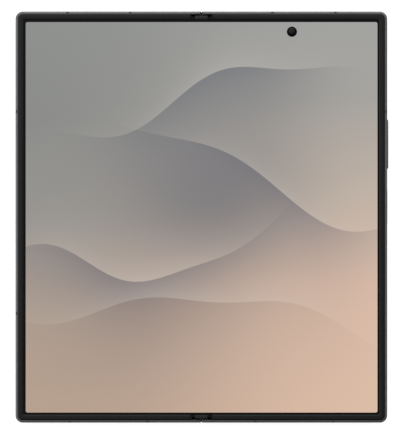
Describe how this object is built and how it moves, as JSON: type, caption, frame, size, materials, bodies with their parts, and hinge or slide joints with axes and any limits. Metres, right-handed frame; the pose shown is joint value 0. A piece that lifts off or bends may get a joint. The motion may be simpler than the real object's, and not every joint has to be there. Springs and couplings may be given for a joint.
{
  "type": "foldable smartphone",
  "caption": "Book-style foldable smartphone opened flat: two thin halves on a geared double hinge, with a folding inner display and a cover display.",
  "frame": {"origin": "middle of the phone opened flat, in the plane of the rear camera rings, which it lies on", "axes": "+X across the fold towards the half with the keys, +Y along the fold towards the front camera, +Z out of the display"},
  "size_m": [0.1437, 0.1584, 0.0065],
  "materials": {
    "frame_metal": "satin anodised",
    "back_glass": "satin etched glass, opaque",
    "island_metal": "satin",
    "ring_metal": "polished",
    "dark_glass": "polished dark glass",
    "screen": "display, switched on",
    "black_trim": "soft matte black",
    "black_part": "matte",
    "steel": "ground",
    "hinge_metal": "satin",
    "spine_metal": "satin anodised",
    "gear_metal": "machined",
    "board_green": "solder mask",
    "cell_wrap": "wrapped foil",
    "copper": "wound copper",
    "break_plastic": "satin",
    "flash_white": "frosted",
    "flex_orange": "polyimide film"
  },
  "bodies": {
    "main_half": {"main_frame": "frame_metal", "rear_glass": "back_glass", "camera_island": "island_metal", "camera_rings": "ring_metal", "camera_lenses": "dark_glass", "camera_modules": "dark_glass", "flash_lens": "flash_white", "main_bezel": "black_trim", "display_right": "screen", "front_camera": "dark_glass", "front_camera_lens": "dark_glass", "port_shell": "steel", "port_tongue": "black_part", "main_speaker": "black_part", "main_board": "board_green", "shield_cans": "steel", "main_battery": "cell_wrap", "charging_coil": "copper", "vibration_motor": "steel", "main_antenna_breaks": "break_plastic", "main_magnets": "steel", "key_switches": "flex_orange", "rotators_right": "hinge_metal", "arm_guides_right": "hinge_metal", "rotator_screws_right": "steel"},
    "spine": {"hinge_spine": "spine_metal", "hinge_brackets": "hinge_metal", "bracket_screws": "steel", "hinge_end_caps": "black_trim", "idler_pins": "steel", "friction_plates": "steel", "disc_springs": "steel", "display_fold": "screen", "flex_cables": "flex_orange"},
    "cover_half": {"cover_frame": "frame_metal", "cover_glass": "dark_glass", "cover_display": "dark_glass", "cover_bezel": "black_trim", "display_left": "screen", "cover_camera": "dark_glass", "cover_battery": "cell_wrap", "sub_board": "board_green", "cover_speaker": "black_part", "cover_antenna_breaks": "break_plastic", "cover_magnets": "steel", "rotators_left": "hinge_metal", "arm_guides_left": "hinge_metal", "rotator_screws_left": "steel", "card_reader": "steel"},
    "right_arms": {"sync_arms_right": "hinge_metal"},
    "left_arms": {"sync_arms_left": "hinge_metal"},
    "right_idlers": {"idler_gears_right": "gear_metal"},
    "left_idlers": {"idler_gears_left": "gear_metal"},
    "right_wing": {"wing_plate_right": "hinge_metal"},
    "left_wing": {"wing_plate_left": "hinge_metal"},
    "volume_rocker": {"volume_key": "frame_metal"},
    "side_button": {"side_key": "frame_metal"},
    "tray": {"card_tray": "break_plastic"}
  },
  "joints": [
    {"name": "fold_main", "type": "hinge", "parent": "main_half", "child": "spine", "pos_m": [0.0014, 0, 0.00535], "axis": [0, 1, 0], "range_deg": [0, 90], "deforming": ["display_fold", "flex_cables"]},
    {"name": "fold_cover", "type": "hinge", "parent": "spine", "child": "cover_half", "pos_m": [-0.0014, 0, 0.00535], "axis": [0, 1, 0], "range_deg": [0, 90], "deforming": ["display_fold", "flex_cables"]},
    {"name": "right_arm_turn", "type": "hinge", "parent": "spine", "child": "right_arms", "pos_m": [0.0021, 0, 0.00416], "axis": [0, -1, 0], "range_deg": [0, 90]},
    {"name": "left_arm_turn", "type": "hinge", "parent": "spine", "child": "left_arms", "pos_m": [-0.0021, 0, 0.00416], "axis": [0, 1, 0], "range_deg": [0, 90]},
    {"name": "right_idler_turn", "type": "hinge", "parent": "spine", "child": "right_idlers", "pos_m": [0.0007, 0, 0.00416], "axis": [0, 1, 0], "range_deg": [0, 90]},
    {"name": "left_idler_turn", "type": "hinge", "parent": "spine", "child": "left_idlers", "pos_m": [-0.0007, 0, 0.00416], "axis": [0, -1, 0], "range_deg": [0, 90]},
    {"name": "right_wing_tilt", "type": "hinge", "parent": "main_half", "child": "right_wing", "pos_m": [0.0068, 0, 0.0054], "axis": [0, -1, 0], "range_deg": [0, 18]},
    {"name": "left_wing_tilt", "type": "hinge", "parent": "cover_half", "child": "left_wing", "pos_m": [-0.0068, 0, 0.0054], "axis": [0, 1, 0], "range_deg": [0, 18]},
    {"name": "volume_rock", "type": "hinge", "parent": "main_half", "child": "volume_rocker", "pos_m": [0.0703, 0.0281, 0.0044], "axis": [0, 0, 1], "range_deg": [-1.1, 1.1], "stiffness_Nm_per_rad": 0.6},
    {"name": "side_key_press", "type": "slide", "parent": "main_half", "child": "side_button", "axis": [-1, 0, 0], "range_m": [0, 0.00025], "stiffness_N_per_m": 8000},
    {"name": "tray_out", "type": "slide", "parent": "cover_half", "child": "tray", "axis": [0, -1, 0], "range_m": [0, 0.028]}
  ],
  "couplings": [
    {"joint": "fold_cover", "follows": "fold_main", "ratio": 1},
    {"joint": "right_arm_turn", "follows": "fold_main", "ratio": 1},
    {"joint": "left_arm_turn", "follows": "fold_main", "ratio": 1},
    {"joint": "right_idler_turn", "follows": "fold_main", "ratio": 1},
    {"joint": "left_idler_turn", "follows": "fold_main", "ratio": 1},
    {"joint": "right_wing_tilt", "follows": "fold_main", "ratio": 0.19},
    {"joint": "left_wing_tilt", "follows": "fold_main", "ratio": 0.19}
  ]
}
